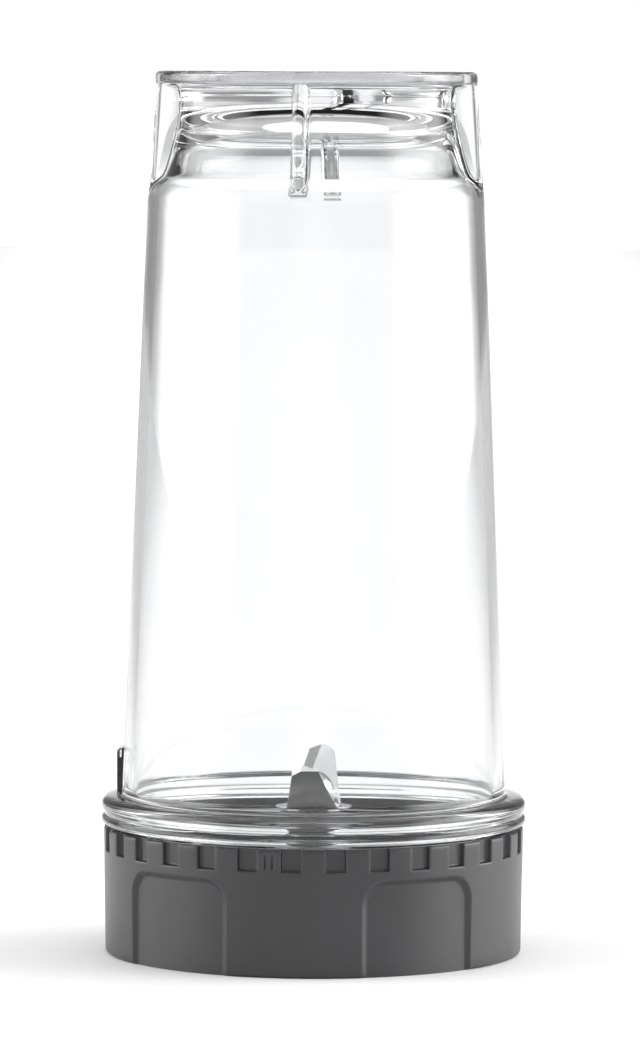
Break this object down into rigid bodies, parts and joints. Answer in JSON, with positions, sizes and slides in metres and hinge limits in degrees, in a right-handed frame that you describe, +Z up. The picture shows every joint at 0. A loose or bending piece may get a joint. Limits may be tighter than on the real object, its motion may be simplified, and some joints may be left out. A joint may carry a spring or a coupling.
{
  "type": "blender cup with blade base",
  "caption": "Clear tapered blender cup, closed end up, screwed mouth-down into a grey blade base with bearings, blades and drive coupling.",
  "frame": {"origin": "centre of the face that the base stands on", "axes": "+Z up along the cup's axis and the drive shaft; the pictured side faces -Y"},
  "size_m": [0.1, 0.1, 0.207],
  "materials": {
    "grey_plastic": "satin moulded",
    "dark_plastic": "satin moulded",
    "clear_plastic": "clear, polished",
    "silicone": "matt translucent",
    "black_rubber": "matt",
    "cast_aluminium": "turned",
    "steel": "turned",
    "blade_steel": "ground, with honed edges",
    "bronze": "sintered",
    "black_nylon": "moulded"
  },
  "bodies": {
    "base": {"collar": "grey_plastic"},
    "blade_unit": {"blade_carrier": "dark_plastic", "cup_gasket": "silicone", "housing_seal": "black_rubber", "bearing_housing": "cast_aluminium", "housing_nut": "steel", "lower_bush": "bronze", "upper_bush": "bronze", "shaft_seal": "black_rubber", "seal_retainer": "steel"},
    "rotor": {"drive_shaft": "steel", "drive_coupling": "black_nylon", "coupling_insert": "steel", "lower_thrust_washer": "steel", "upper_thrust_washer": "steel", "lower_blade": "blade_steel", "blade_spacer": "steel", "upper_blade": "blade_steel", "lock_washer": "steel", "blade_nut": "steel"},
    "cup": {"cup": "clear_plastic"}
  },
  "joints": [
    {"name": "unscrew", "type": "hinge", "parent": "base", "child": "blade_unit", "pos_m": [0, 0, 0.0155], "axis": [0, 0, 1], "range_deg": [0, 450]},
    {"name": "cup_lift", "type": "slide", "parent": "blade_unit", "child": "cup", "axis": [0, 0, 1], "range_m": [0, 0.015]},
    {"name": "blade_spin", "type": "hinge", "parent": "blade_unit", "child": "rotor", "pos_m": [0, 0, 0.0155], "axis": [0, 0, 1], "continuous": true}
  ],
  "couplings": [
    {"joint": "cup_lift", "follows": "unscrew", "m_per_rad": 0.0019098}
  ]
}
